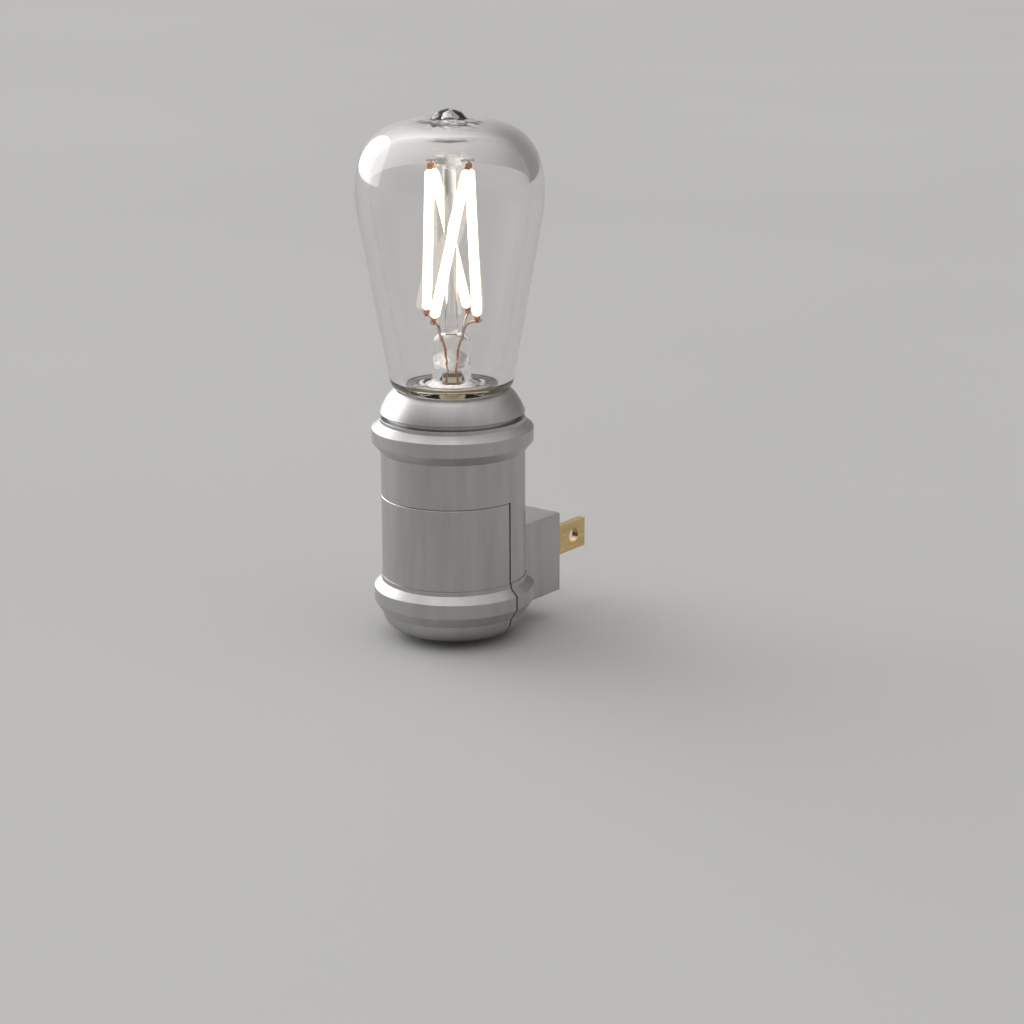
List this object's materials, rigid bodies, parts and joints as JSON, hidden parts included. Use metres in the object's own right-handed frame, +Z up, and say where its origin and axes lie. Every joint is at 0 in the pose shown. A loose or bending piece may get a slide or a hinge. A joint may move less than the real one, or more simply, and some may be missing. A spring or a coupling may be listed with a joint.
{
  "type": "plug in night light",
  "caption": "Plug-in night light: satin nickel cylindrical body on a square plug block, with a clear pear-shaped filament-style LED bulb on top and a slide switch underneath.",
  "frame": {"origin": "midway between the two blades on the plug's rear face, which rests on the outlet", "axes": "+Z up along the body and bulb, +Y into the outlet along the blades, +X to the right seen from the room"},
  "size_m": [0.038, 0.0563, 0.1087],
  "materials": {
    "satin_nickel": "satin nickel plating on moulded plastic",
    "black_plastic": "fine matt",
    "cream_plastic": "matt",
    "cement": "matt",
    "clear_glass": "clear, thick-walled",
    "copper_wire": "bare copper",
    "nickel_wire": "bare drawn wire",
    "filament": "phosphor coat, glowing when lit",
    "board": "solder mask",
    "capacitor_film": "dipped",
    "capacitor_can": "sleeve",
    "fuse_body": "lacquer",
    "cell_face": "lacquer",
    "smoked_plastic": "polished",
    "switch_metal": "stamped",
    "blade_brass": "bright brass",
    "black_insulation": "insulation",
    "white_insulation": "insulation",
    "red_insulation": "insulation"
  },
  "bodies": {
    "root": {"rear_shell": "satin_nickel", "front_cover": "satin_nickel", "top_cap": "satin_nickel", "plug_face": "black_plastic", "blade_left": "blade_brass", "blade_right": "blade_brass", "bulb_seat": "cream_plastic", "bulb_cement": "cement", "bulb_glass": "clear_glass", "stem_glass": "clear_glass", "support_rod": "clear_glass", "seal_wires": "copper_wire", "lead_wire_left": "nickel_wire", "lead_wire_right": "nickel_wire", "top_wire_left": "nickel_wire", "top_wire_right": "nickel_wire", "filament_1": "filament", "filament_2": "filament", "filament_3": "filament", "filament_4": "filament", "filament_tabs": "copper_wire", "driver_board": "board", "film_capacitor": "capacitor_film", "electrolytic_capacitor": "capacitor_can", "driver_chip": "black_plastic", "bridge_rectifier": "black_plastic", "fuse_resistor": "fuse_body", "photocell": "cell_face", "sensor_lens": "smoked_plastic", "switch_case": "switch_metal", "live_wire": "black_insulation", "neutral_wire": "white_insulation", "bulb_wires": "red_insulation"},
    "slider": {"switch_slider": "black_plastic"}
  },
  "joints": [
    {"name": "switch_slide", "type": "slide", "parent": "root", "child": "slider", "axis": [1, 0, 0], "range_m": [-0.002, 0.002]}
  ]
}
